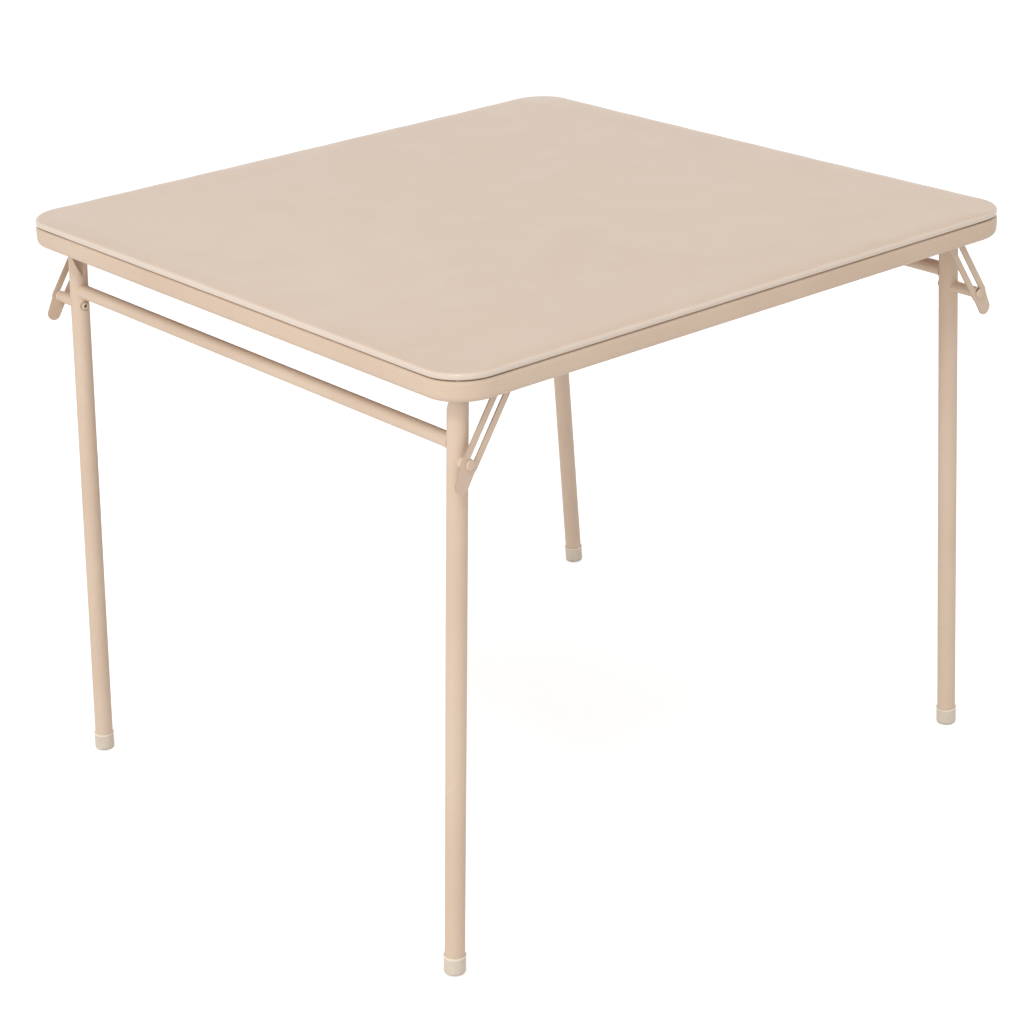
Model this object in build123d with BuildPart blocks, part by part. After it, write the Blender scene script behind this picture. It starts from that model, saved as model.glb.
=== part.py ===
from build123d import *
from math import atan2, cos, hypot, radians, sin, tan
import os

os.makedirs("parts", exist_ok=True)

# Folding card table: a square padded top on a rolled steel apron, and two pairs
# of tubular legs that swing up under it, each leg held open by a slotted brace.
# The origin lies on the floor under the middle of the top, with +Z up, and the
# X and Y axes run along the table's edges.

# Overall sizes
table_side = 863.6
table_height = 724.0
corner_radius = 50.0
least_radius_share = 0.2
overrun = 5.0

# Padded top: vinyl cover over foam on a hardboard panel
cover_thickness = 0.8
foam_thickness = 3.6
board_thickness = 4.8
crown_rise = 1.2
crown_width = 54.0
rim_radius = 4.6
foam_rim_share = 0.9
rim_lower_radius = 3.2
hem_width = 38.0
staple_inset = 31.0
staple_length = 11.0
staple_width = 1.3
staple_thickness = 0.6
staple_margin = 120.0
staples_per_side = 9

# Apron, roll-formed from sheet with a top flange and a rolled-in lower lip
apron_height = 24.8
apron_sheet = 1.2
apron_flange_width = 22.0
apron_lip_width = 9.0
apron_lip_rise = 3.5
apron_top_bend = 5.0
apron_lower_bend = 8.0

# Screws that hold the apron and the brackets to the board
screw_radius = 1.9
screw_clearance = 0.3
screw_bite = 3.6
screw_head_radius = 3.8
screw_head_height = 2.0
screw_head_round = 1.2
screw_recess_length = 3.4
screw_recess_width = 0.9
screw_recess_depth = 0.8
apron_screw_margin = 162.0
apron_screws_per_side = 3

# Legs: tubes that splay outwards, dented and crushed flat at the top
leg_radius = 11.7
leg_wall = 1.2
leg_splay = 3.3
leg_pivot_inset = 36.5
leg_pivot_drop = 17.0
leg_near_inset = 42.0
leg_far_inset = 70.5
leg_end_radius = 11.0
dent_start = 46.0
dent_angle = 26.0
dent_offset = 1.0
dent_rim_round = 1.2
crush_start = 17.0
crush_end = 14.0
crush_flat_offset = 8.0
crush_back_offset = 11.0
crush_back_ramp = 5.0

# Crossbar between the two legs of a pair
crossbar_radius = 8.6
crossbar_wall = 1.2
crossbar_drop = 62.6
weld_width = 1.4
weld_reach = 4.0
weld_gap = 0.02

# Spacer tube and lock rivet that reach from a leg to its brace
lock_drop = 81.0
spacer_radius = 6.8
spacer_wall = 1.2
lock_radius = 3.5
lock_clearance = 0.06
lock_rolled_radius = 4.8
lock_rolled_height = 2.2
lock_hollow_radius = 2.4
lock_hollow_depth = 7.0
lock_head_radius = 6.2
lock_head_height = 2.9
lock_head_gap = 0.2

# Foot caps
cap_height = 23.0
cap_floor = 4.5
cap_radius = 12.8
cap_fit = 0.03
cap_bead_rise = 0.5
cap_bead_height = 1.8
cap_sole_round = 3.0

# Slotted braces
brace_pivot_reach = 50.0
brace_thickness = 2.0
brace_radius = 11.3
brace_inset = 21.2
brace_side_gap = 0.3
slot_start = 16.0
slot_clearance = 0.1
thumb_reach = 23.2
thumb_offset = 2.2
thumb_radius = 9.0
thumb_neck_radius = 10.2

# Pivot rivets
rivet_radius = 3.0
rivet_clearance = 0.05
rivet_head_radius = 4.6
rivet_head_height = 1.9
rivet_tail_radius = 4.2
rivet_tail_height = 1.4
rivet_side_gap = 0.15
dome_share = 0.85

# Brackets
bracket_sheet = 2.0
bracket_bend = 2.0
bracket_side_gap = 0.2
bracket_corner_round = 6.0
leg_bracket_width = 26.0
leg_bracket_round = 12.0
leg_bracket_outer_inset = 11.0
leg_bracket_screw_inset = 15.5
leg_bracket_screw_pitch = 14.0
brace_bracket_width = 24.0
brace_bracket_drop = 14.0
brace_bracket_round = 6.0
brace_bracket_outer_inset = 5.2
brace_bracket_screw_inset = 11.8
brace_bracket_screw_pitch = 14.5

# Heights and places worked out from the sizes above
half_side = table_side / 2
apron_top = table_height - 2 * cover_thickness - foam_thickness - board_thickness
apron_bottom = apron_top - apron_height
board_bottom = apron_top + cover_thickness
board_top = board_bottom + board_thickness
foam_top = board_top + foam_thickness
rim_top = table_height - crown_rise
flange_bottom = apron_top - apron_sheet
plate_bottom = flange_bottom - bracket_sheet
screw_tip = board_bottom + screw_bite
pivot_x = half_side - leg_pivot_inset
brace_pivot_x = pivot_x - brace_pivot_reach
pivot_z = apron_top - leg_pivot_drop
brace_face = half_side - brace_inset - brace_thickness
spacer_end = brace_face - brace_side_gap
leg_screw_line = half_side - leg_bracket_screw_inset
brace_screw_line = half_side - brace_bracket_screw_inset

# The lock pin hangs under the leg's pivot, and the brace reaches down to it
splay = radians(leg_splay)
pin_x = lock_drop * sin(splay)
pin_fall = lock_drop * cos(splay)
brace_run = brace_pivot_reach + pin_x
brace_length = hypot(brace_run, pin_fall)
brace_lean = atan2(brace_run, pin_fall)
sole_rise = cap_sole_round * (1 - cos(splay)) + (cap_radius - cap_sole_round) * sin(splay)
leg_length = (pivot_z - sole_rise) / cos(splay)

# Each corner: side along X, side along Y, and the leg's distance from the middle
near_leg = half_side - leg_near_inset
far_leg = half_side - leg_far_inset
corners = {
    "front": (-1, -1, near_leg),
    "left": (-1, 1, far_leg),
    "right": (1, -1, far_leg),
    "rear": (1, 1, near_leg),
}
pairs = {"left": ("front", "left"), "right": ("right", "rear")}


def keep(part, name):
    part.label = name
    export_step(part, f"parts/{name}.step")


def inset_square(inset):
    """The table's rounded square, drawn in from its edge by the inset."""
    side = table_side - 2 * inset
    radius = max(corner_radius - inset, corner_radius * least_radius_share)
    RectangleRounded(side, side, radius)


def spread(count, margin):
    """Places for a row of equal steps that ends at a margin from each corner."""
    reach = half_side - margin
    return [reach * (2 * place / (count - 1) - 1) for place in range(count)]


def round_the_table(row, inset):
    """The spots of a row, set on all four sides at an inset from the edge."""
    line = half_side - inset
    spots = []
    for along in row:
        spots += [(along, line), (along, -line), (line, along), (-line, along)]
    return spots


def leg_frame(corner):
    """The leg's own frame: at its pivot, x outwards to the brace, z up the leg."""
    side, out, reach = corners[corner]
    return Plane(
        origin=(side * pivot_x, out * reach, pivot_z),
        x_dir=(0, out, 0),
        z_dir=(-side * sin(splay), 0, cos(splay)),
    )


def across_leg(frame, drop):
    """A plane square to the pivot's axis, its centre a drop down the leg."""
    centre = frame.origin - frame.z_dir * drop
    return Plane(origin=centre, x_dir=frame.y_dir, z_dir=frame.x_dir)


def along_leg(frame):
    """A plane through the leg's axis, with x outwards and y up the leg."""
    return Plane(origin=frame.origin, x_dir=frame.x_dir, z_dir=-frame.y_dir)


def bracket_section(corner, x):
    """A plane across a bracket, with x outwards from the middle and y up."""
    out = corners[corner][1]
    return Plane(origin=(x, 0, 0), x_dir=(0, out, 0), z_dir=(out, 0, 0))


def brace_plane(corner, height):
    """A plane on a brace's face, at its upper pivot, with x down the brace."""
    side, out = corners[corner][:2]
    return Plane(
        origin=(side * brace_pivot_x, out * height, pivot_z),
        x_dir=(side * sin(brace_lean), 0, -cos(brace_lean)),
        z_dir=(0, out, 0),
    )


# Where the screws go
apron_screw_spots = round_the_table(
    spread(apron_screws_per_side, apron_screw_margin), apron_flange_width / 2
)
leg_screw_spots = {}
brace_screw_spots = {}
for corner, (side, out, _) in corners.items():
    leg_screw_spots[corner] = [
        (side * pivot_x + shift * leg_bracket_screw_pitch / 2, out * leg_screw_line)
        for shift in (-1, 1)
    ]
    brace_screw_spots[corner] = [
        (side * brace_pivot_x + shift * brace_bracket_screw_pitch / 2, out * brace_screw_line)
        for shift in (-1, 1)
    ]
bracket_screw_spots = []
for corner in corners:
    bracket_screw_spots += leg_screw_spots[corner] + brace_screw_spots[corner]
all_screw_spots = apron_screw_spots + bracket_screw_spots


def upright_holes(spots, bottom, top, radius):
    """What upright drills of one radius take out between two heights."""
    with BuildPart() as drills:
        with BuildSketch(Plane.XY.offset(bottom)):
            with Locations(*spots):
                Circle(radius)
        extrude(amount=top - bottom)
    return drills.part


# Hardboard panel, its lower edge eased and blind screw holes in its underside
with BuildPart() as panel:
    with BuildSketch(Plane.XY.offset(board_bottom)):
        inset_square(cover_thickness)
    extrude(amount=board_thickness)
    fillet(panel.faces().sort_by(Axis.Z)[0].edges(), rim_lower_radius - cover_thickness)

with BuildPart() as board:
    add(panel.part)
    screw_holes = upright_holes(all_screw_spots, board_bottom, screw_tip, screw_radius)
    add(screw_holes, mode=Mode.SUBTRACT)
keep(board.part, "top_board")


def padded_slab(inset, bottom, rim, top, upper_radius):
    """A square slab with a rolled upper edge and a low crown inside its rim."""
    with BuildPart() as slab:
        with BuildSketch(Plane.XY.offset(bottom)):
            inset_square(inset)
        extrude(amount=rim - bottom)
        fillet(slab.faces().sort_by(Axis.Z)[-1].edges(), upper_radius)
        with BuildSketch(Plane.XY.offset(rim)):
            inset_square(inset + upper_radius)
        with BuildSketch(Plane.XY.offset(top)):
            inset_square(inset + upper_radius + crown_width)
        loft(ruled=True)
    return slab.part


# Foam pad, flat below and crowned above
foam_rim = rim_top - cover_thickness
foam_round = min(rim_radius - cover_thickness, (foam_rim - board_top) * foam_rim_share)
foam_shape = padded_slab(cover_thickness, board_top, foam_rim, foam_top, foam_round)
keep(foam_shape, "foam_pad")

# Vinyl cover, pulled over the foam and the board's edge and hemmed underneath
cover_shape = padded_slab(0, apron_top, rim_top, table_height, rim_radius)
with BuildPart() as cover:
    add(cover_shape)
    fillet(cover.faces().sort_by(Axis.Z)[0].edges(), rim_lower_radius)
    add(foam_shape, mode=Mode.SUBTRACT)
    add(panel.part, mode=Mode.SUBTRACT)
    with BuildSketch(Plane.XY.offset(apron_top)):
        inset_square(hem_width)
    extrude(amount=cover_thickness, mode=Mode.SUBTRACT)
    hem_holes = upright_holes(all_screw_spots, apron_top, board_bottom, screw_radius)
    add(hem_holes, mode=Mode.SUBTRACT)
keep(cover.part, "vinyl_cover")

# Staples that hold the hem to the board
staple_row = spread(staples_per_side, staple_margin)
staple_line = half_side - staple_inset
with BuildPart() as staples:
    with BuildSketch(Plane.XY.offset(apron_top)):
        for edge in (-1, 1):
            with Locations(*[(along, edge * staple_line) for along in staple_row]):
                Rectangle(staple_length, staple_width)
            with Locations(*[(edge * staple_line, along) for along in staple_row]):
                Rectangle(staple_width, staple_length)
    extrude(amount=-staple_thickness)
keep(staples.part, "hem_staples")

# Apron ring: a channel section that runs round all four sides
with BuildPart() as channel:
    with BuildSketch(Plane.XY.offset(apron_bottom + apron_sheet)):
        inset_square(apron_sheet)
    extrude(amount=apron_height - 2 * apron_sheet)
    fillet(channel.faces().sort_by(Axis.Z)[-1].edges(), apron_top_bend - apron_sheet)
    fillet(channel.faces().sort_by(Axis.Z)[0].edges(), apron_lower_bend - apron_sheet)

with BuildPart() as apron:
    with BuildSketch(Plane.XY.offset(apron_bottom)):
        inset_square(0)
    extrude(amount=apron_height)
    fillet(apron.faces().sort_by(Axis.Z)[-1].edges(), apron_top_bend)
    fillet(apron.faces().sort_by(Axis.Z)[0].edges(), apron_lower_bend)
    add(channel.part, mode=Mode.SUBTRACT)
    with BuildSketch(Plane.XY.offset(flange_bottom)):
        inset_square(apron_flange_width)
    extrude(amount=apron_sheet, mode=Mode.SUBTRACT)
    with BuildSketch(Plane.XY.offset(apron_bottom)):
        inset_square(apron_lip_width)
    extrude(amount=apron_sheet, mode=Mode.SUBTRACT)
    with BuildSketch(Plane.XY.offset(apron_bottom)):
        inset_square(apron_lip_width - apron_sheet)
        with BuildSketch(mode=Mode.SUBTRACT):
            inset_square(apron_lip_width)
    extrude(amount=apron_lip_rise)
    flange_holes = upright_holes(
        all_screw_spots, flange_bottom, apron_top, screw_radius + screw_clearance
    )
    add(flange_holes, mode=Mode.SUBTRACT)
keep(apron.part, "apron_frame")


def screw_group(spots, head_top):
    """Pan-head screws that point up, their heads under the given height."""
    with BuildPart() as screws:
        with BuildSketch(Plane.XY.offset(head_top)):
            with Locations(*spots):
                Circle(screw_head_radius)
        extrude(amount=-screw_head_height)
        heads = screws.edges().filter_by(GeomType.CIRCLE).group_by(Axis.Z)[0]
        fillet(heads, screw_head_round)
        with BuildSketch(Plane.XY.offset(head_top)):
            with Locations(*spots):
                Circle(screw_radius)
        extrude(amount=screw_tip - head_top)
        with BuildSketch(Plane.XY.offset(head_top - screw_head_height)):
            with Locations(*spots):
                Rectangle(screw_recess_length, screw_recess_width)
                Rectangle(screw_recess_width, screw_recess_length)
        extrude(amount=screw_recess_depth, mode=Mode.SUBTRACT)
    return screws.part


keep(screw_group(apron_screw_spots, flange_bottom), "apron_screws")
keep(screw_group(bracket_screw_spots, plate_bottom), "bracket_screws")


def angle_bracket(section, web_inner, web_low, flange_end, width, low_round):
    """A bent plate: a web that hangs down and a flange that runs outwards."""
    web_outer = web_inner + bracket_sheet
    with BuildPart() as bracket:
        with BuildSketch(section):
            with BuildLine():
                Polyline(
                    (web_inner, web_low),
                    (web_outer, web_low),
                    (web_outer, plate_bottom),
                    (flange_end, plate_bottom),
                    (flange_end, flange_bottom),
                    (web_inner, flange_bottom),
                    close=True,
                )
            make_face()
        extrude(amount=width / 2, both=True)
        bend_lines = bracket.edges().filter_by(Axis.X)
        inner_bend = bend_lines.filter_by(
            lambda edge: abs(abs(edge.center().Y) - web_outer) + abs(edge.center().Z - plate_bottom)
            < bracket_sheet / 2
        )
        outer_bend = bend_lines.filter_by(
            lambda edge: abs(abs(edge.center().Y) - web_inner) + abs(edge.center().Z - flange_bottom)
            < bracket_sheet / 2
        )
        fillet(inner_bend, bracket_bend)
        fillet(outer_bend, bracket_bend + bracket_sheet)
        fillet(bracket.edges().filter_by(Axis.Y).group_by(Axis.Z)[0], low_round)
        plate_corners = bracket.edges().filter_by(Axis.Z).filter_by(
            lambda edge: abs(abs(edge.center().Y) - flange_end) < bracket_sheet / 2
        )
        fillet(plate_corners, bracket_corner_round)
    return bracket.part


def rivet(plane, grip, radius, head_radius, head_height, tail_radius, tail_height):
    """A domed rivet: head on the plane's far side of the grip, tail below it."""
    with BuildPart() as pin:
        with BuildSketch(plane):
            Circle(radius)
        extrude(amount=grip)
        with BuildSketch(plane.offset(grip)):
            Circle(head_radius)
        extrude(amount=head_height)
        grip_line = Axis(plane.origin, plane.z_dir)
        fillet(pin.faces().sort_by(grip_line)[-1].edges(), head_height * dome_share)
        if tail_height:
            with BuildSketch(plane):
                Circle(tail_radius)
            extrude(amount=-tail_height)
            fillet(pin.faces().sort_by(grip_line)[0].edges(), tail_height * dome_share)
    return pin.part


# Leg and brace brackets, one of each at every corner, with their pivot rivets
for corner, (side, out, reach) in corners.items():
    ear_outer = reach + crush_flat_offset - bracket_side_gap
    ear_inner = ear_outer - bracket_sheet
    with BuildPart() as leg_bracket:
        add(
            angle_bracket(
                bracket_section(corner, side * pivot_x),
                ear_inner,
                pivot_z - leg_bracket_round,
                half_side - leg_bracket_outer_inset,
                leg_bracket_width,
                leg_bracket_round,
            )
        )
        with BuildSketch(Plane(origin=(side * pivot_x, 0, pivot_z), z_dir=(0, out, 0))):
            Circle(rivet_radius)
        extrude(amount=half_side, mode=Mode.SUBTRACT)
        plate_holes = upright_holes(
            leg_screw_spots[corner], plate_bottom, flange_bottom, screw_radius + screw_clearance
        )
        add(plate_holes, mode=Mode.SUBTRACT)
    keep(leg_bracket.part, f"leg_bracket_{corner}")

    web_inner = brace_face + brace_thickness + bracket_side_gap
    with BuildPart() as brace_bracket:
        add(
            angle_bracket(
                bracket_section(corner, side * brace_pivot_x),
                web_inner,
                pivot_z - brace_bracket_drop,
                half_side - brace_bracket_outer_inset,
                brace_bracket_width,
                brace_bracket_round,
            )
        )
        with BuildSketch(brace_plane(corner, web_inner)):
            Circle(rivet_radius)
        extrude(amount=bracket_sheet, mode=Mode.SUBTRACT)
        plate_holes = upright_holes(
            brace_screw_spots[corner], plate_bottom, flange_bottom, screw_radius + screw_clearance
        )
        add(plate_holes, mode=Mode.SUBTRACT)
    keep(brace_bracket.part, f"brace_bracket_{corner}")

with BuildPart() as leg_rivets:
    for side, out, reach in corners.values():
        ear_inner = reach + crush_flat_offset - bracket_side_gap - bracket_sheet
        grip = reach + crush_back_offset + rivet_side_gap - ear_inner
        seat = Plane(origin=(side * pivot_x, out * ear_inner, pivot_z), z_dir=(0, out, 0))
        add(
            rivet(
                seat, grip, rivet_radius, rivet_head_radius, rivet_head_height,
                rivet_tail_radius, rivet_tail_height,
            )
        )
keep(leg_rivets.part, "leg_pivot_rivets")

with BuildPart() as brace_rivets:
    for side, out, _ in corners.values():
        web_outer = brace_face + brace_thickness + bracket_side_gap + bracket_sheet
        grip = web_outer - brace_face + rivet_side_gap
        seat = Plane(
            origin=(side * brace_pivot_x, out * web_outer, pivot_z), z_dir=(0, -out, 0)
        )
        add(
            rivet(
                seat, grip, rivet_radius, rivet_head_radius, rivet_head_height,
                rivet_tail_radius, rivet_tail_height,
            )
        )
keep(brace_rivets.part, "brace_pivot_rivets")


def dent(frame, start):
    """The hollow a blunt point presses into the inner side of a leg's top."""
    reach = start + leg_end_radius + overrun
    tip = frame.origin - frame.x_dir * (leg_radius + dent_offset) - frame.z_dir * start
    with BuildPart() as hollow:
        with Locations(Plane(origin=tip, x_dir=frame.x_dir, z_dir=frame.z_dir)):
            Cone(
                0,
                reach * tan(radians(dent_angle)),
                reach,
                align=(Align.CENTER, Align.CENTER, Align.MIN),
            )
    return hollow.part


def on_dent_rim(edge, frame):
    """Whether an edge is where the dent breaks a leg's outer face."""
    spot = frame.to_local_coords(edge @ 0.5)
    off_surface = abs(hypot(spot.X, spot.Y) - leg_radius)
    return off_surface < leg_wall / 2 and crush_start < -spot.Z < dent_start


def crush_cut(start, end):
    """The side view of what the crush presses away, on the plane along a leg."""
    Polyline(
        (-leg_radius - overrun, -start),
        (-leg_radius, -start),
        (crush_flat_offset, -end),
        (crush_flat_offset, leg_end_radius + overrun),
        (-leg_radius - overrun, leg_end_radius + overrun),
        close=True,
    )


# Legs: tubes dented on the inner side and crushed flat against the outer side
slope = atan2(leg_radius + crush_flat_offset, crush_start - crush_end)
inner_wall_drop = leg_wall / sin(slope)
dent_wall_drop = leg_wall / sin(radians(dent_angle))
for corner in corners:
    frame = leg_frame(corner)
    tube_low = leg_length - cap_floor
    with BuildPart() as bore:
        with BuildSketch(frame.offset(-tube_low)):
            Circle(leg_radius - leg_wall)
        extrude(amount=tube_low - crush_end - inner_wall_drop)
        add(dent(frame, dent_start + dent_wall_drop), mode=Mode.SUBTRACT)
        with BuildSketch(along_leg(frame)):
            with BuildLine():
                crush_cut(crush_start + inner_wall_drop, crush_end + inner_wall_drop)
            make_face()
        extrude(amount=leg_radius + overrun, both=True, mode=Mode.SUBTRACT)
    with BuildPart() as leg:
        with BuildSketch(frame.offset(-tube_low)):
            Circle(leg_radius)
        extrude(amount=tube_low + leg_end_radius)
        with BuildSketch(across_leg(frame, 0)):
            Circle(leg_end_radius)
            with Locations((0, -tube_low / 2)):
                Rectangle(2 * leg_radius + overrun, tube_low)
        extrude(amount=leg_radius + overrun, both=True, mode=Mode.INTERSECT)
        add(dent(frame, dent_start), mode=Mode.SUBTRACT)
        with BuildSketch(along_leg(frame)):
            with BuildLine():
                crush_cut(crush_start, crush_end)
            make_face()
            with BuildLine():
                Polyline(
                    (crush_back_offset, leg_end_radius + overrun),
                    (crush_back_offset, -crush_end),
                    (leg_radius, -crush_end - crush_back_ramp),
                    (leg_radius + overrun, -crush_end - crush_back_ramp),
                    (leg_radius + overrun, leg_end_radius + overrun),
                    close=True,
                )
            make_face()
        extrude(amount=leg_radius + overrun, both=True, mode=Mode.SUBTRACT)
        add(bore.part, mode=Mode.SUBTRACT)
        fillet(leg.edges().filter_by(lambda edge: on_dent_rim(edge, frame)), dent_rim_round)
        with BuildSketch(across_leg(frame, 0)):
            Circle(rivet_radius + rivet_clearance)
        extrude(amount=leg_radius, mode=Mode.SUBTRACT)
        with BuildSketch(across_leg(frame, lock_drop)):
            Circle(lock_radius + lock_clearance)
        extrude(amount=leg_radius + overrun, both=True, mode=Mode.SUBTRACT)
    keep(leg.part, f"leg_{corner}")


def leg_saddle(frame, drop):
    """The stretch of leg that the end of a tube is cut to lie round."""
    with BuildPart() as saddle:
        with BuildSketch(frame.offset(-drop - leg_radius - overrun)):
            Circle(leg_radius + weld_gap)
        extrude(amount=2 * (leg_radius + overrun))
    return saddle.part


def weld(plane, radius):
    """The bead of weld round a tube of the given radius, where it meets a leg."""
    with Locations(plane.offset(leg_radius - weld_reach)):
        Cone(
            radius + weld_width,
            radius,
            2 * weld_reach,
            align=(Align.CENTER, Align.CENTER, Align.MIN),
        )


# Crossbars, one between the two legs of each pair
for name, (first, second) in pairs.items():
    near_frame = leg_frame(first)
    far_frame = leg_frame(second)
    start = near_frame.origin - near_frame.z_dir * crossbar_drop
    end = far_frame.origin - far_frame.z_dir * crossbar_drop
    bar_start = Plane(origin=start, z_dir=(0, 1, 0))
    bar_end = Plane(origin=end, z_dir=(0, -1, 0))
    with BuildPart() as crossbar:
        with BuildSketch(bar_start):
            Circle(crossbar_radius)
        extrude(amount=corners[first][2] + corners[second][2])
        weld(bar_start, crossbar_radius)
        weld(bar_end, crossbar_radius)
        with BuildSketch(bar_start):
            Circle(crossbar_radius - crossbar_wall)
        extrude(amount=corners[first][2] + corners[second][2], mode=Mode.SUBTRACT)
        add(leg_saddle(near_frame, crossbar_drop), mode=Mode.SUBTRACT)
        add(leg_saddle(far_frame, crossbar_drop), mode=Mode.SUBTRACT)
    keep(crossbar.part, f"crossbar_{name}")

# Spacer tubes, lock rivets and foot caps, one of each on every leg
for corner, (_, _, reach) in corners.items():
    frame = leg_frame(corner)
    lock_plane = across_leg(frame, lock_drop)

    with BuildPart() as spacer:
        with BuildSketch(lock_plane):
            Circle(spacer_radius)
        extrude(amount=spacer_end - reach)
        weld(lock_plane, spacer_radius)
        with BuildSketch(lock_plane):
            Circle(spacer_radius - spacer_wall)
        extrude(amount=spacer_end - reach, mode=Mode.SUBTRACT)
        add(leg_saddle(frame, lock_drop), mode=Mode.SUBTRACT)
    keep(spacer.part, f"spacer_{corner}")

    rolled_face = lock_plane.offset(-leg_radius - lock_rolled_height)
    with BuildPart() as lock_rivet:
        with BuildSketch(rolled_face):
            Circle(lock_rolled_radius)
        extrude(amount=2 * lock_rolled_height)
        fillet(
            lock_rivet.faces().sort_by(Axis(frame.origin, frame.x_dir))[0].edges(),
            lock_rolled_height * dome_share,
        )
        add(leg_saddle(frame, lock_drop), mode=Mode.SUBTRACT)
        with BuildSketch(rolled_face.offset(lock_rolled_height)):
            Circle(lock_radius)
        extrude(amount=spacer_end - reach + leg_radius)
        with BuildSketch(rolled_face):
            Circle(lock_hollow_radius)
        extrude(amount=lock_hollow_depth, mode=Mode.SUBTRACT)
    keep(lock_rivet.part, f"lock_rivet_{corner}")

    sole = frame.offset(-leg_length)
    leg_line = Axis(frame.origin, frame.z_dir)
    with BuildPart() as cap:
        with BuildSketch(sole):
            Circle(cap_radius)
        extrude(amount=cap_height)
        fillet(cap.faces().sort_by(leg_line)[0].edges(), cap_sole_round)
        with BuildSketch(sole.offset(cap_height - cap_bead_height)):
            Circle(cap_radius + cap_bead_rise)
        extrude(amount=cap_bead_height)
        bead_edges = cap.edges().filter_by(GeomType.CIRCLE).filter_by(
            lambda edge: edge.radius > cap_radius + cap_bead_rise / 2
        )
        fillet(bead_edges, cap_bead_rise * dome_share)
        with BuildSketch(sole.offset(cap_floor)):
            Circle(leg_radius + cap_fit)
        extrude(amount=cap_height, mode=Mode.SUBTRACT)
    keep(cap.part, f"foot_cap_{corner}")

# Slotted braces, each with the lock pin that slides in its slot
for corner, (side, out, _) in corners.items():
    face = brace_plane(corner, brace_face)
    thumb_spot = (brace_length + thumb_reach, side * out * thumb_offset)
    with BuildPart() as brace:
        with BuildSketch(face):
            with Locations((0, 0), (brace_length, 0)):
                Circle(brace_radius)
            make_hull()
        extrude(amount=brace_thickness)
        with BuildSketch(face):
            with Locations((brace_length, 0)):
                Circle(thumb_neck_radius)
            with Locations(thumb_spot):
                Circle(thumb_radius)
            make_hull()
        extrude(amount=brace_thickness)
        with BuildSketch(face):
            Circle(rivet_radius + rivet_clearance)
            with Locations(((brace_length + slot_start) / 2, 0)):
                SlotCenterToCenter(
                    brace_length - slot_start, 2 * (lock_radius + slot_clearance)
                )
        extrude(amount=brace_thickness, mode=Mode.SUBTRACT)
    keep(brace.part, f"brace_{corner}")

    inner_face = brace_plane(corner, brace_face - brace_side_gap / 2)
    pin_spot = inner_face.origin + inner_face.x_dir * brace_length
    pin = rivet(
        Plane(origin=pin_spot, z_dir=(0, out, 0)),
        brace_side_gap / 2 + brace_thickness + lock_head_gap,
        lock_radius,
        lock_head_radius,
        lock_head_height,
        0,
        0,
    )
    keep(pin, f"lock_pin_{corner}")
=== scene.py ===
# Looks of the folding card table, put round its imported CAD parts. All sizes are
# in metres, with the origin on the floor under the middle of the top, +Z up, and
# X and Y along the table's edges.
import math

import bmesh
import bpy
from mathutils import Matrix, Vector


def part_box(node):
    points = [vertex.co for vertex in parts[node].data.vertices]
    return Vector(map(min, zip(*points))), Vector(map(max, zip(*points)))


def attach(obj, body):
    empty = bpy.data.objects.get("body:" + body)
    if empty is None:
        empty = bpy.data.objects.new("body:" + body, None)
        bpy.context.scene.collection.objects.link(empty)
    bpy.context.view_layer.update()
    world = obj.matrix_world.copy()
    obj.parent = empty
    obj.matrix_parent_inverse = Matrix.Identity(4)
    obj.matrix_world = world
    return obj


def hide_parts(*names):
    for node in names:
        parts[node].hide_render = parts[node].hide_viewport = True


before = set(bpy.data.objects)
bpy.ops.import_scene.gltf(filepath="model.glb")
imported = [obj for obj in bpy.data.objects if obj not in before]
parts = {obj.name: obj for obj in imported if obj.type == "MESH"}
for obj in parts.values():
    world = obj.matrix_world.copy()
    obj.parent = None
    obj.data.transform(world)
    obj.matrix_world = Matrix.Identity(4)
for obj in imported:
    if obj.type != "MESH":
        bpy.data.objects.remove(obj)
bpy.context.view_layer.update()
bpy.ops.object.select_all(action="DESELECT")
corners = ("front", "left", "right", "rear")


# Hardboard panel
# A brown fibre board, pressed on a wire screen so that its underside shows a
# fine mesh. The vinyl is hemmed and stapled to it.
def colour(red, green, blue):
    """A colour as a paint card gives it, 0 to 255, as the shader wants it."""
    shares = [value / 255 for value in (red, green, blue)]
    linear = [s / 12.92 if s < 0.04045 else ((s + 0.055) / 1.055) ** 2.4 for s in shares]
    return (*linear, 1.0)


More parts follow.
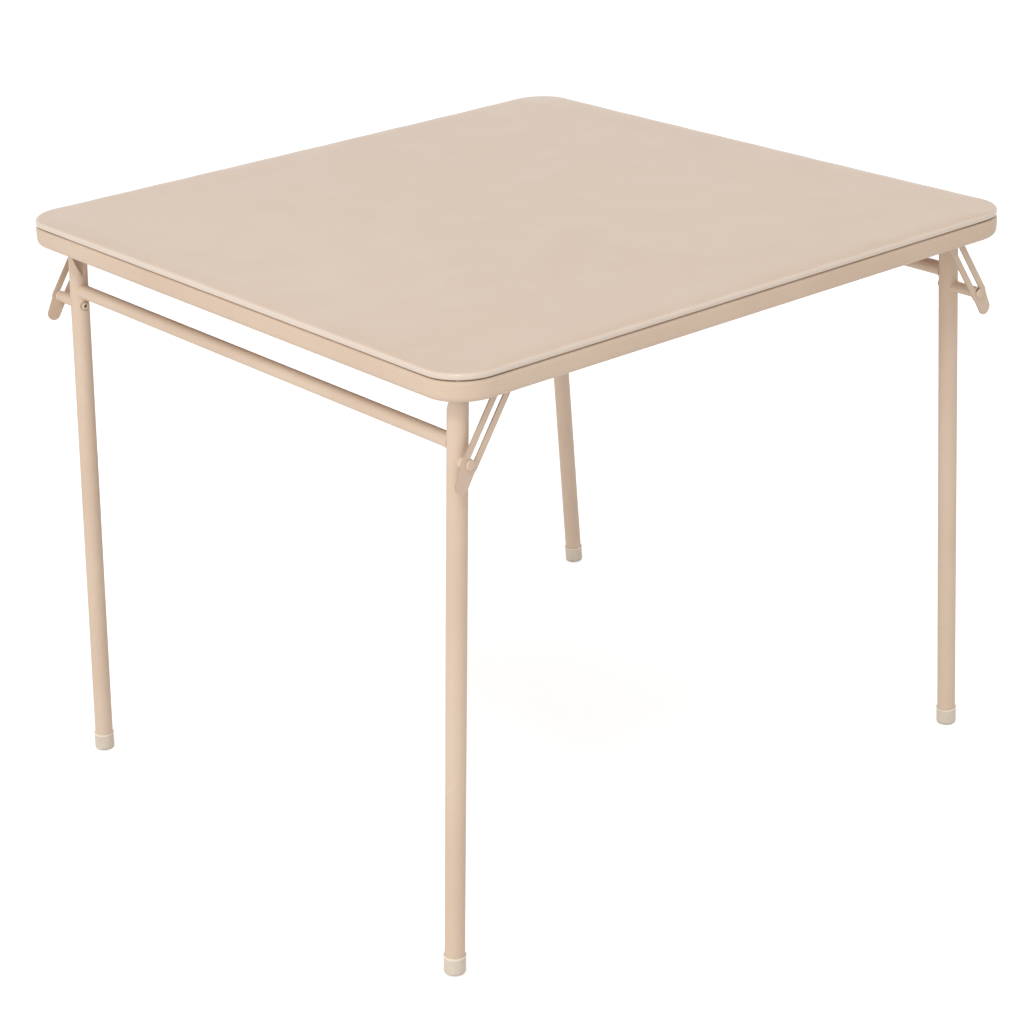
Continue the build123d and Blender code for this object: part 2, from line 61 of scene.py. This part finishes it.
class Finish:
    """A finish that is made up layer by layer on the object's own coordinates."""

    def __init__(self, name):
        self.material = bpy.data.materials.new(name)
        self.material.use_nodes = True
        self.nodes = self.material.node_tree.nodes
        self.nodes.clear()
        self.shader = self.nodes.new("ShaderNodeBsdfPrincipled")
        self.surface = self.nodes.new("ShaderNodeOutputMaterial").inputs["Surface"]
        self.join(self.shader.outputs["BSDF"], self.surface)
        self.place = self.nodes.new("ShaderNodeTexCoord").outputs["Object"]

    def join(self, start, end):
        self.material.node_tree.links.new(start, end)

    def set(self, **values):
        sockets = {each.name.lower().replace(" ", "_"): each for each in self.shader.inputs}
        for name, value in values.items():
            sockets[name].default_value = value

    def stretched(self, scale=(1, 1, 1), turn=(0, 0, 0), shift=(0, 0, 0)):
        """The coordinates, stretched and turned for a pattern that has a direction."""
        mapping = self.nodes.new("ShaderNodeMapping")
        mapping.inputs["Location"].default_value = shift
        mapping.inputs["Rotation"].default_value = turn
        mapping.inputs["Scale"].default_value = scale
        self.join(self.place, mapping.inputs["Vector"])
        return mapping.outputs["Vector"]

    def axes(self):
        """How far out along X and along Y, to either side, and how high."""
        split = self.nodes.new("ShaderNodeSeparateXYZ")
        self.join(self.place, split.inputs["Vector"])
        out = [self.sum_up("ABSOLUTE", split.outputs[axis], 0) for axis in "XY"]
        return (*out, split.outputs["Z"])

    def cloud(self, per_metre, detail=2.0, roughness=0.5, place=None):
        """Soft noise with that many patches to the metre."""
        noise = self.nodes.new("ShaderNodeTexNoise")
        noise.inputs["Scale"].default_value = per_metre
        noise.inputs["Detail"].default_value = detail
        noise.inputs["Roughness"].default_value = roughness
        self.join(place or self.place, noise.inputs["Vector"])
        return noise.outputs["Fac"]

    def pebbles(self, per_metre, randomness=1.0, place=None):
        """Rounded cells with that many to the metre, dark in their joints."""
        cells = self.nodes.new("ShaderNodeTexVoronoi")
        cells.feature = "SMOOTH_F1"
        cells.inputs["Scale"].default_value = per_metre
        cells.inputs["Smoothness"].default_value = 0.35
        cells.inputs["Randomness"].default_value = randomness
        self.join(place or self.place, cells.inputs["Vector"])
        return self.ramp(cells.outputs["Distance"], 0.15, 0.75, 1.0, 0.0)

    def ramp(self, value, low, high, at_low=0.0, at_high=1.0):
        """A value spread from one range to another and held at both ends."""
        spread = self.nodes.new("ShaderNodeMapRange")
        spread.interpolation_type = "SMOOTHSTEP"
        for socket, number in zip(("From Min", "From Max", "To Min", "To Max"),
                                  (low, high, at_low, at_high)):
            spread.inputs[socket].default_value = number
        self.join(value, spread.inputs["Value"])
        return spread.outputs["Result"]

    def times(self, first, second):
        return self.sum_up("MULTIPLY", first, second)

    def plus(self, first, second):
        return self.sum_up("ADD", first, second)

    def sum_up(self, kind, first, second):
        maths = self.nodes.new("ShaderNodeMath")
        maths.operation = kind
        for value, socket in zip((first, second), maths.inputs):
            if isinstance(value, (int, float)):
                socket.default_value = value
            else:
                self.join(value, socket)
        return maths.outputs["Value"]

    def mixed(self, share, under, over):
        """One colour laid over another by a share, each a colour or a layer."""
        mix = self.nodes.new("ShaderNodeMix")
        mix.data_type = "RGBA"
        self.join(share, mix.inputs["Factor"])
        for layer, socket in ((under, mix.inputs["A"]), (over, mix.inputs["B"])):
            if isinstance(layer, tuple):
                socket.default_value = layer
            else:
                self.join(layer, socket)
        return mix.outputs["Result"]

    def relief(self, height, depth, strength=1.0, under=None):
        """Relief of that depth in metres, laid over the relief under it."""
        bump = self.nodes.new("ShaderNodeBump")
        bump.inputs["Distance"].default_value = depth
        bump.inputs["Strength"].default_value = strength
        self.join(height, bump.inputs["Height"])
        if under:
            self.join(under, bump.inputs["Normal"])
        return bump.outputs["Normal"]

    def coat(self, *pieces):
        """Puts the finish on CAD parts or new pieces."""
        for piece in pieces:
            if not piece.material_slots:
                piece.data.materials.append(self.material)
            for slot in piece.material_slots:
                slot.material = self.material


hardboard = Finish("hardboard")
fibre_lay = hardboard.stretched(scale=(1, 3, 1), turn=(0, 0, 0.5))
fibres = hardboard.cloud(140, detail=6, roughness=0.7, place=fibre_lay)
flecks = hardboard.cloud(900, detail=3, roughness=0.6)
brown = hardboard.mixed(
    hardboard.ramp(fibres, 0.3, 0.7), colour(126, 92, 62), colour(152, 116, 82)
)
brown = hardboard.mixed(hardboard.ramp(flecks, 0.55, 0.75, 0, 0.5), brown, colour(92, 64, 42))
hardboard.join(brown, hardboard.shader.inputs["Base Color"])
screen_wires = 90
print_depth = 0.0004
fleck_depth = 0.0003
screen = []
for turn in (0, math.pi / 2):
    wires = hardboard.nodes.new("ShaderNodeTexWave")
    wires.inputs["Scale"].default_value = screen_wires
    wires.inputs["Distortion"].default_value = 0.4
    hardboard.join(hardboard.stretched(turn=(0, 0, turn)), wires.inputs["Vector"])
    screen.append(wires.outputs["Fac"])
mesh_print = hardboard.relief(hardboard.times(*screen), print_depth)
board_relief = hardboard.relief(flecks, fleck_depth, strength=0.6, under=mesh_print)
hardboard.join(board_relief, hardboard.shader.inputs["Normal"])
hardboard.set(roughness=0.78)
hardboard.coat(parts["top_board"])


# Padded vinyl top
# One sheet of buff vinyl pulled over thin foam and the board's edge, stretched paler round the rim,
# where a painted highlight is added too, gathered at the corners, and hemmed under the board.
same_place = 1e-5
slack = 1e-4
fewest_cap_corners = 100


def choose(piece, kind, test):
    """In edit mode, selects only the faces, edges or vertices that pass the test."""
    mesh = bmesh.from_edit_mesh(piece.data)
    bpy.ops.mesh.select_all(action="DESELECT")
    bpy.ops.mesh.select_mode(type={"faces": "FACE", "edges": "EDGE", "verts": "VERT"}[kind])
    for element in getattr(mesh, kind):
        element.select = test(element)
    mesh.select_flush_mode()
    bmesh.update_edit_mesh(piece.data)


def level_with(edge, height):
    """Whether both ends of an edge lie at that height."""
    return all(abs(vert.co.z - height) < same_place for vert in edge.verts)


def is_cap(face):
    """Whether a face is one that closes the sheet's whole outline."""
    return len(face.verts) > fewest_cap_corners


cover_low, cover_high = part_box("vinyl_cover")
cover_side = cover_high.x - cover_low.x
cover_corner = 0.050
cover_rim = 0.7228
cover_thickness = 0.0008
rim_round = 0.0046
rim_steps = 5
tuck_round = 0.0032
tuck_steps = 3
hem_rings = (0.0188, 0.008, 0.008)
side_steps = 60
corner_steps = 12
pad_rings = (0.004, 0.006, 0.009, 0.011)

bpy.ops.mesh.primitive_plane_add(size=cover_side, location=(0, 0, cover_low.z))
vinyl_top = bpy.context.object
vinyl_top.name = "vinyl_top"
vinyl_top.data.name = "vinyl_top"
bpy.ops.object.transform_apply(location=True, rotation=True, scale=True)
bpy.ops.object.mode_set(mode="EDIT")
bpy.ops.mesh.select_all(action="SELECT")
bpy.ops.mesh.bevel(offset=cover_corner, segments=corner_steps, affect="VERTICES")
choose(vinyl_top, "edges", lambda edge: edge.calc_length() > cover_side / 2)
bpy.ops.mesh.subdivide(number_cuts=side_steps - 1)
bpy.ops.mesh.select_mode(type="FACE")
bpy.ops.mesh.select_all(action="SELECT")
bpy.ops.mesh.extrude_region_move(
    TRANSFORM_OT_translate={"value": (0, 0, cover_rim - cover_low.z)}
)
choose(vinyl_top, "edges", lambda edge: level_with(edge, cover_rim))
bpy.ops.mesh.bevel(offset=rim_round, segments=rim_steps, profile=0.5)
choose(vinyl_top, "edges", lambda edge: level_with(edge, cover_low.z))
bpy.ops.mesh.bevel(offset=tuck_round, segments=tuck_steps, profile=0.5)
for ring in hem_rings:
    choose(vinyl_top, "faces", lambda face: is_cap(face) and face.normal.z < 0)
    bpy.ops.mesh.inset(thickness=ring)
bpy.ops.mesh.delete(type="FACE")
for ring in pad_rings:
    choose(vinyl_top, "faces", is_cap)
    bpy.ops.mesh.inset(thickness=ring)
choose(vinyl_top, "faces", is_cap)
bpy.ops.mesh.delete(type="ONLY_FACE")
choose(
    vinyl_top,
    "edges",
    lambda edge: edge.is_boundary and edge.verts[0].co.z > cover_rim - same_place,
)
mesh = bmesh.from_edit_mesh(vinyl_top.data)
corner_point = max(
    (vert for vert in mesh.verts if vert.select), key=lambda vert: vert.co.x + vert.co.y
)
bpy.ops.mesh.select_mode(type="VERT")
mesh.select_history.clear()
mesh.select_history.add(corner_point)
bpy.ops.mesh.fill_grid(span=side_steps + corner_steps)
bpy.ops.mesh.select_all(action="SELECT")
bpy.ops.mesh.normals_make_consistent(inside=False)
bpy.ops.object.mode_set(mode="OBJECT")

# The foam presses the vinyl up. It is tight at the rim, and tightest where a
# staple holds the hem below.
staple_pitch = 0.0780
staple_pull = 0.3
pad_rise = 0.0013
tightness = (0.12, 0.45, 0.6, 0.75, 0.88)
edge_line = cover_side / 2 - rim_round - slack
corner_line = cover_corner - rim_round - slack
rest_shape = [vert.co.copy() for vert in vinyl_top.data.vertices]
held = vinyl_top.vertex_groups.new(name="held")
for vert in vinyl_top.data.vertices:
    weight = 1.0
    for step, share in enumerate(tightness):
        fall = rim_round * (1 - math.cos(math.pi / 2 * step / rim_steps))
        if abs(vert.co.z - cover_rim + fall) < slack / 2:
            weight = share
    reach = max(abs(vert.co.x), abs(vert.co.y))
    corner_reach = math.hypot(
        max(abs(vert.co.x) - cover_side / 2 + cover_corner, 0),
        max(abs(vert.co.y) - cover_side / 2 + cover_corner, 0),
    )
    if weight == tightness[0] and reach < edge_line and corner_reach < corner_line:
        weight = 0.0
    elif weight < 1:
        along = min(abs(vert.co.x), abs(vert.co.y))
        weight += (1 - weight) * staple_pull * math.cos(math.tau * along / staple_pitch)
    held.add([vert.index], weight, "REPLACE")
cloth_frames = 20
bpy.ops.object.modifier_add(type="CLOTH")
cloth = vinyl_top.modifiers[-1]
cloth.settings.quality = 6
cloth.settings.vertex_group_mass = "held"
cloth.settings.use_pressure = True
cloth.settings.uniform_pressure_force = 4
cloth.settings.effector_weights.gravity = 0
cloth.settings.tension_stiffness = 15
cloth.settings.bending_stiffness = 2
cloth.point_cache.frame_start = 1
cloth.point_cache.frame_end = cloth_frames
for step in range(1, cloth_frames + 1):
    bpy.context.scene.frame_set(step)
bpy.ops.object.modifier_apply(modifier=cloth.name)
bpy.context.scene.frame_set(1)
for vert, rest in zip(vinyl_top.data.vertices, rest_shape):
    move = vert.co - rest
    if move.length > 0:
        vert.co = rest + move.normalized() * pad_rise * math.tanh(move.length / pad_rise)

# Where the vinyl is gathered round the corners, its hem lies in small pleats.
pleat_drop = {0.0304: 0.00035, 0.0384: 0.0008}
pleat_width = 0.002
for vert in vinyl_top.data.vertices:
    if vert.co.z > cover_low.z + slack:
        continue
    across = [abs(value) - cover_side / 2 + cover_corner for value in vert.co[:2]]
    if min(across) < slack:
        continue
    inset = cover_corner - math.hypot(*across)
    fold = round(math.degrees(math.atan2(across[1], across[0])) / 90 * corner_steps)
    for ring, drop in pleat_drop.items():
        if abs(inset - ring) < pleat_width and fold % 2:
            vert.co.z -= drop

# The foam itself is a little uneven, and the sheet has its own thickness.
unevenness = bpy.data.textures.new("foam_unevenness", "CLOUDS")
unevenness.noise_scale = 0.11
unevenness.noise_depth = 1
bpy.ops.object.modifier_add(type="DISPLACE")
uneven = vinyl_top.modifiers[-1]
uneven.texture = unevenness
uneven.direction = "Z"
uneven.strength = 0.0004
uneven.vertex_group = "held"
uneven.invert_vertex_group = True
bpy.ops.object.modifier_apply(modifier=uneven.name)
bpy.ops.object.modifier_add(type="SOLIDIFY")
sheet = vinyl_top.modifiers[-1]
sheet.thickness = cover_thickness
sheet.offset = -1
bpy.ops.object.modifier_apply(modifier=sheet.name)
bpy.ops.object.modifier_add(type="SUBSURF")
softness = vinyl_top.modifiers[-1]
softness.levels = 1
softness.render_levels = 1
bpy.ops.object.modifier_apply(modifier=softness.name)
bpy.ops.object.shade_smooth()

vinyl = Finish("buff_vinyl")
fading = vinyl.ramp(vinyl.cloud(2.2, detail=3), 0.3, 0.7)
handling = vinyl.ramp(vinyl.cloud(14, detail=4, roughness=0.6), 0.35, 0.75)
specks = vinyl.ramp(vinyl.cloud(170), 0.74, 0.80, 0, 0.35)
grain = vinyl.pebbles(850)
pores = vinyl.cloud(2600, roughness=0.6)
buff = vinyl.mixed(fading, colour(203, 179, 157), colour(206, 183, 162))
buff = vinyl.mixed(vinyl.times(handling, 0.15), buff, colour(214, 196, 180))
buff = vinyl.mixed(vinyl.ramp(grain, 0.1, 0.6, 0.2, 0), buff, colour(190, 164, 141))
buff = vinyl.mixed(specks, buff, colour(170, 142, 118))

# The colour is paler from where the sheet starts to turn down to the seam: partly the vinyl
# stretched paler, partly a painted highlight on the rolled rim.
turn_down = cover_rim - 0.0002
turned = cover_rim - 0.0025
above_seam = cover_low.z + 0.0005
clear_of_seam = cover_low.z + 0.0020
height = vinyl.axes()[2]
pale_rim_and_highlight = vinyl.times(
    vinyl.ramp(height, above_seam, clear_of_seam),
    vinyl.ramp(height, turned, turn_down, 0.5, 0),
)
buff = vinyl.mixed(pale_rim_and_highlight, buff, colour(240, 228, 216))

# The seam between the vinyl and the apron is darkened: painted shade for the shadow in the gap,
# with some dirt in it.
seam_reach = 0.4165
seam_fade = 0.0005
seam_shade_and_grime = colour(104, 80, 60)
seam_shade_share = 0.75


def seam_shade_and_dirt(finish, low, high, at_low, at_high):
    """Painted shade, with some dirt, in the seam between those heights, darkest where it turns a
    corner.
    """
    across, along, height = finish.axes()
    turn_start, turn_end, side_share = 0.300, 0.395, 0.3
    turn = finish.sum_up("MINIMUM", across, along)
    turn = finish.ramp(turn, turn_start, turn_end, side_share, 1)
    outside = finish.sum_up("MAXIMUM", across, along)
    outside = finish.ramp(outside, seam_reach - seam_fade, seam_reach)
    depth = finish.ramp(height, low, high, at_low, at_high)
    return finish.times(finish.times(turn, outside), depth)


# The vinyl's lower roll takes the seam's painted shade and dirt.
seam_shade_full = cover_low.z + 0.0002
seam_shade_top = cover_low.z + 0.0012
seam_shade_mask = seam_shade_and_dirt(vinyl, seam_shade_full, seam_shade_top, seam_shade_share, 0)
buff = vinyl.mixed(seam_shade_mask, buff, seam_shade_and_grime)
vinyl.join(buff, vinyl.shader.inputs["Base Color"])
grain_depth = 0.00012
pore_depth = 0.00004
pressed_grain = vinyl.relief(grain, grain_depth, strength=0.35)
skin = vinyl.relief(pores, pore_depth, strength=0.4, under=pressed_grain)
vinyl.join(skin, vinyl.shader.inputs["Normal"])
vinyl.join(vinyl.ramp(handling, 0, 1, 0.50, 0.45), vinyl.shader.inputs["Roughness"])
vinyl.set(specular_ior_level=0.15, coat_weight=0.6, coat_roughness=0.2)
vinyl.coat(vinyl_top)
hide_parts("vinyl_cover", "foam_pad")
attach(vinyl_top, "table_top")


# Staples
# Galvanised wire staples, driven through the hem into the board in a row on
# each side.
galvanised = Finish("galvanised_wire")
spangle = galvanised.cloud(1500)
spangle_depth = 0.00003
wire_grey = galvanised.mixed(spangle, colour(168, 168, 164), colour(206, 205, 200))
galvanised.join(wire_grey, galvanised.shader.inputs["Base Color"])
galvanised.join(galvanised.ramp(spangle, 0.2, 0.8, 0.3, 0.5), galvanised.shader.inputs["Roughness"])
galvanised.join(galvanised.relief(spangle, spangle_depth), galvanised.shader.inputs["Normal"])
galvanised.set(metallic=1.0)
galvanised.coat(parts["hem_staples"])


# Apron
# Sheet steel roll-formed into a channel with a rolled-in lip, bent round four
# corners and sprayed with a buff powder coat, which shows a fine orange peel.
def powder_coat(name, edge_radius=0.0, paler=0):
    """The buff powder coat: the finish, and its bare colour before any marks."""
    peel_depth, speckle_depth = 0.00010, 0.00003
    coat = Finish(name)
    drift = coat.ramp(coat.cloud(5, detail=3, roughness=0.55), 0.3, 0.7)
    speckle = coat.ramp(coat.cloud(1300, roughness=0.6), 0.35, 0.7)
    peel = coat.cloud(620)
    paints = [
        colour(*(value + paler for value in paint))
        for paint in ((214, 189, 166), (221, 198, 176))
    ]
    paint = coat.mixed(drift, *paints)
    paint = coat.mixed(coat.times(speckle, 0.3), paint, colour(200, 174, 151))
    rounded = None
    if edge_radius:
        edge = coat.nodes.new("ShaderNodeBevel")
        edge.samples = 6
        edge.inputs["Radius"].default_value = edge_radius
        rounded = edge.outputs["Normal"]
    peel_relief = coat.relief(peel, peel_depth, strength=0.7, under=rounded)
    skin = coat.relief(speckle, speckle_depth, strength=0.5, under=peel_relief)
    coat.join(skin, coat.shader.inputs["Normal"])
    coat.join(coat.ramp(peel, 0.3, 0.7, 0.5, 0.6), coat.shader.inputs["Roughness"])
    coat.set(specular_ior_level=0.4)
    return coat, paint


apron_coat, apron_paint = powder_coat("apron_powder_coat")
rub_lay = apron_coat.stretched(scale=(0.3, 0.3, 1.6))
rubs = apron_coat.cloud(60, detail=5, roughness=0.7, place=rub_lay)
rubs = apron_coat.ramp(rubs, 0.66, 0.74, 0, 0.45)
apron_paint = apron_coat.mixed(rubs, apron_paint, colour(226, 205, 184))
# The apron's top bend takes the seam's painted shade and dirt as well.
seam_shade_foot = cover_low.z - 0.0011
seam_shade_full = cover_low.z - 0.0003
seam_shade_mask = seam_shade_and_dirt(apron_coat, seam_shade_foot, seam_shade_full, 0, seam_shade_share)
apron_paint = apron_coat.mixed(seam_shade_mask, apron_paint, seam_shade_and_grime)
apron_coat.join(apron_paint, apron_coat.shader.inputs["Base Color"])
apron_coat.coat(parts["apron_frame"])


# Screws
# Zinc-plated pan-head screws with a crossed recess, driven up through the apron
# and the brackets into the board.
zinc = Finish("zinc_plate")
plating = zinc.cloud(700, detail=4, roughness=0.6)
plating_depth = 0.00002
plate_grey = zinc.mixed(
    zinc.ramp(plating, 0.3, 0.7), colour(172, 170, 160), colour(210, 208, 200)
)
zinc.join(plate_grey, zinc.shader.inputs["Base Color"])
zinc.join(zinc.ramp(plating, 0.2, 0.8, 0.28, 0.48), zinc.shader.inputs["Roughness"])
zinc.join(zinc.relief(plating, plating_depth), zinc.shader.inputs["Normal"])
zinc.set(metallic=1.0)
zinc.coat(parts["apron_screws"], parts["bracket_screws"])


# Brackets and pivot rivets
# Bent steel plates under the apron's flange, one for each leg and one for each
# brace, with the rivets that the legs and braces swing on. All are coated.
cut_edge = 0.0004
bracket_coat, bracket_paint = powder_coat("bracket_powder_coat", edge_radius=cut_edge)
bracket_coat.join(bracket_paint, bracket_coat.shader.inputs["Base Color"])
for corner in corners:
    bracket_coat.coat(parts[f"leg_bracket_{corner}"], parts[f"brace_bracket_{corner}"])
bracket_coat.coat(parts["leg_pivot_rivets"], parts["brace_pivot_rivets"])


# Legs
# Welded steel tubes that splay outwards, the inner side of their top pressed flat round the pivot.
# The coat is scuffed, and painted shade with some dirt rings the rolled rivets.
# The tubes' coat is a little paler than the apron's: painted light, making up for the light that
# the table top keeps off them.
tube_painted_light = 4
leg_coat, leg_paint = powder_coat("leg_powder_coat", paler=tube_painted_light)
scuff_lay = leg_coat.stretched(scale=(1, 1, 0.5))
scuffs = leg_coat.cloud(34, detail=6, roughness=0.75, place=scuff_lay)
scuffs = leg_coat.ramp(scuffs, 0.69, 0.73, 0, 0.6)
dust = leg_coat.ramp(leg_coat.cloud(9, detail=3, roughness=0.6), 0.4, 0.8, 0, 0.3)
leg_paint = leg_coat.mixed(dust, leg_paint, colour(212, 187, 165))
leg_paint = leg_coat.mixed(scuffs, leg_paint, colour(232, 214, 196))
pin_low, pin_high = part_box("lock_pin_right")
out_x, _, height = leg_coat.axes()
off_centre = [
    leg_coat.sum_up("POWER", leg_coat.sum_up("SUBTRACT", place, (low + high) / 2), 2)
    for place, low, high in ((out_x, pin_low.x, pin_high.x), (height, pin_low.z, pin_high.z))
]
from_rivet = leg_coat.sum_up("POWER", leg_coat.plus(*off_centre), 0.5)
rolled_edge = 0.0048
ring_start = rolled_edge - 0.0004
ring_full = (rolled_edge + 0.0002, rolled_edge + 0.0006)
ring_end = rolled_edge + 0.0018
# A dark ring round the rolled rivet end: painted shade for the shadow at its edge, with some dirt.
ring_shade_and_dirt = leg_coat.times(
    leg_coat.ramp(from_rivet, ring_start, ring_full[0]),
    leg_coat.ramp(from_rivet, ring_full[1], ring_end, 0.55, 0),
)
leg_paint = leg_coat.mixed(ring_shade_and_dirt, leg_paint, colour(120, 90, 66))
leg_coat.join(leg_paint, leg_coat.shader.inputs["Base Color"])
for corner in corners:
    leg_coat.coat(parts[f"leg_{corner}"])


# Crossbars
# A thinner tube between the two legs of a pair, its ends shaped to the legs and
# welded to them all round before coating.
for side in ("left", "right"):
    leg_coat.coat(parts[f"crossbar_{side}"])


# Spacers and lock rivets
# A stub of tube welded to each leg reaches out to its brace, and its outer end is coloured nearly
# white. A long rivet runs through both, its hollow end rolled over on the leg.
stub_coat, stub_paint = powder_coat("stub_powder_coat", paler=tube_painted_light)
stub_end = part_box("spacer_left")[1].y
# The stub turns nearly white over its last 1.6 mm.
pale_end_start = stub_end - 0.0016
pale_end_full = stub_end - 0.0010
pale_end = stub_coat.ramp(stub_coat.axes()[1], pale_end_start, pale_end_full)
stub_paint = stub_coat.mixed(pale_end, stub_paint, colour(250, 240, 230))
stub_coat.join(stub_paint, stub_coat.shader.inputs["Base Color"])
for corner in corners:
    stub_coat.coat(parts[f"spacer_{corner}"])
    leg_coat.coat(parts[f"lock_rivet_{corner}"])


# Foot caps
# Moulded cream plastic cups with a painted highlight on the bead round the mouth, pushed on to the
# legs and worn dull and grey where they stand on the floor.
cream = Finish("cream_plastic")
height = cream.axes()[2]
mottle = cream.ramp(cream.cloud(90, detail=4, roughness=0.6), 0.3, 0.7)
moulding = cream.mixed(mottle, colour(214, 200, 181), colour(222, 209, 191))
cap_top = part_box("foot_cap_front")[1].z
# The bead round the mouth is made paler: a painted highlight.
bead_highlight_low = cap_top - 0.0032
bead_highlight_full = cap_top - 0.0025
bead_highlight = cream.ramp(height, bead_highlight_low, bead_highlight_full)
moulding = cream.mixed(bead_highlight, moulding, colour(240, 228, 210))
wear_height = 0.006
sole_wear = cream.times(
    cream.ramp(height, 0, wear_height, 1, 0),
    cream.ramp(cream.cloud(260, detail=4, roughness=0.7), 0.3, 0.6),
)
moulding = cream.mixed(cream.times(sole_wear, 0.6), moulding, colour(150, 134, 116))
cream.join(moulding, cream.shader.inputs["Base Color"])
cream.join(cream.ramp(mottle, 0, 1, 0.42, 0.55), cream.shader.inputs["Roughness"])
mould_depth = 0.00005
mould_skin = cream.cloud(900, detail=3, roughness=0.6)
mould_skin = cream.relief(mould_skin, mould_depth, strength=0.6)
cream.join(mould_skin, cream.shader.inputs["Normal"])
for corner in corners:
    cream.coat(parts[f"foot_cap_{corner}"])


# Braces
# Flat steel straps with a long slot and a rounded thumb tab. The lock pin has rubbed the coat
# beside the slot, and the cut edges are darkened with painted shade.
brace_coat, brace_paint = powder_coat("brace_powder_coat", edge_radius=cut_edge)
slide_lay = brace_coat.stretched(scale=(1, 0.2, 1))
slides = brace_coat.cloud(120, detail=5, roughness=0.7, place=slide_lay)
slides = brace_coat.ramp(slides, 0.6, 0.72, 0, 0.5)
brace_paint = brace_coat.mixed(slides, brace_paint, colour(228, 208, 188))
brace_low, brace_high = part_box("brace_left")
face_skin = 0.0001
out_y = brace_coat.axes()[1]
# The cut edges are made darker: painted shade.
edge_shade = brace_coat.times(
    brace_coat.ramp(out_y, brace_low.y + face_skin, brace_low.y + cut_edge),
    brace_coat.ramp(out_y, brace_high.y - cut_edge, brace_high.y - face_skin, 0.4, 0),
)
brace_paint = brace_coat.mixed(edge_shade, brace_paint, colour(120, 92, 70))
brace_coat.join(brace_paint, brace_coat.shader.inputs["Base Color"])
for corner in corners:
    brace_coat.coat(parts[f"brace_{corner}"])


# Lock pins
# The domed outer heads of the lock rivets, which slide in the braces' slots.
for corner in corners:
    brace_coat.coat(parts[f"lock_pin_{corner}"])


# Studio
# A plain white floor under soft lamps: a far broad one from the left, a small one
# high in front, a wide one overhead, and an even white sky.
floor_side = 24
floor_lift = 0.55
bpy.ops.mesh.primitive_plane_add(size=floor_side, location=(0, 0, 0))
studio_floor = bpy.context.object
studio_floor.name = "studio_floor"
paper = Finish("white_paper")
paper.set(base_color=colour(238, 238, 238), roughness=1.0, specular_ior_level=0.0)
paper_seen = paper.nodes.new("ShaderNodeBsdfDiffuse")
paper_seen.inputs["Color"].default_value = (0.80, 0.80, 0.80, 1)
lift = paper.nodes.new("ShaderNodeEmission")
lift.inputs["Color"].default_value = (1, 1, 1, 1)
lift.inputs["Strength"].default_value = floor_lift
lifted = paper.nodes.new("ShaderNodeAddShader")
paper.join(paper_seen.outputs["BSDF"], lifted.inputs[0])
paper.join(lift.outputs["Emission"], lifted.inputs[1])


def looked_at(tree):
    """Whether the camera sees a point, straight, mirrored or through glass."""
    path = tree.nodes.new("ShaderNodeLightPath")
    seen = path.outputs["Is Camera Ray"]
    for way in ("Is Glossy Ray", "Is Transmission Ray"):
        either = tree.nodes.new("ShaderNodeMath")
        either.operation = "MAXIMUM"
        tree.links.new(seen, either.inputs[0])
        tree.links.new(path.outputs[way], either.inputs[1])
        seen = either.outputs["Value"]
    return seen


paper_shown = paper.nodes.new("ShaderNodeMixShader")
paper.join(looked_at(paper.material.node_tree), paper_shown.inputs["Fac"])
paper.join(paper.shader.outputs["BSDF"], paper_shown.inputs[1])
paper.join(lifted.outputs["Shader"], paper_shown.inputs[2])
paper.join(paper_shown.outputs["Shader"], paper.surface)
paper.coat(studio_floor)

world = bpy.data.worlds.new("studio_sky")
world.use_nodes = True
bpy.context.scene.world = world
sky = world.node_tree.nodes["Background"]
sky.inputs["Color"].default_value = (1, 1, 1, 1)
sky_light = 0.69
sky_shown = 1.0
sky_level = world.node_tree.nodes.new("ShaderNodeMapRange")
sky_level.inputs["To Min"].default_value = sky_light
sky_level.inputs["To Max"].default_value = sky_shown
world.node_tree.links.new(looked_at(world.node_tree), sky_level.inputs["Value"])
world.node_tree.links.new(sky_level.outputs["Result"], sky.inputs["Strength"])


def soft_lamp(name, spot, aim, size, watts, in_gloss=True):
    """A round lamp that stands at a spot and points at another."""
    bpy.ops.object.light_add(type="AREA", location=spot)
    lamp = bpy.context.object
    lamp.name = name
    lamp.data.shape = "DISK"
    lamp.data.size = size
    lamp.data.energy = watts
    lamp.visible_glossy = in_gloss
    lamp.rotation_mode = "QUATERNION"
    lamp.rotation_quaternion = (Vector(aim) - Vector(spot)).to_track_quat("-Z", "Y")


# The left lamp stands so low that it would blot out the glossy top from the right.
soft_lamp("left_lamp", (-8.0, -1.8, 1.9), (0, 0, 0.5), 4.5, 140, in_gloss=False)
soft_lamp("front_lamp", (-2.1, -1.5, 3.5), (0, 0, 0.7), 0.8, 30)
soft_lamp("overhead_lamp", (0.2, 0.2, 4.2), (0, 0, 0.7), 3.0, 26)

# The camera stands where the photograph was taken from.
bpy.ops.object.camera_add(
    location=(-1.9285, -2.3318, 1.5860),
    rotation=[math.radians(turn) for turn in (64.488, 2.308, -39.053)],
)
camera = bpy.context.object
camera.data.sensor_width = 36
camera.data.lens = 89.18
camera.data.shift_x = 0.0557
camera.data.shift_y = 0.1256
camera.data.clip_end = 100
bpy.context.scene.camera = camera
bpy.context.scene.view_settings.view_transform = "Standard"
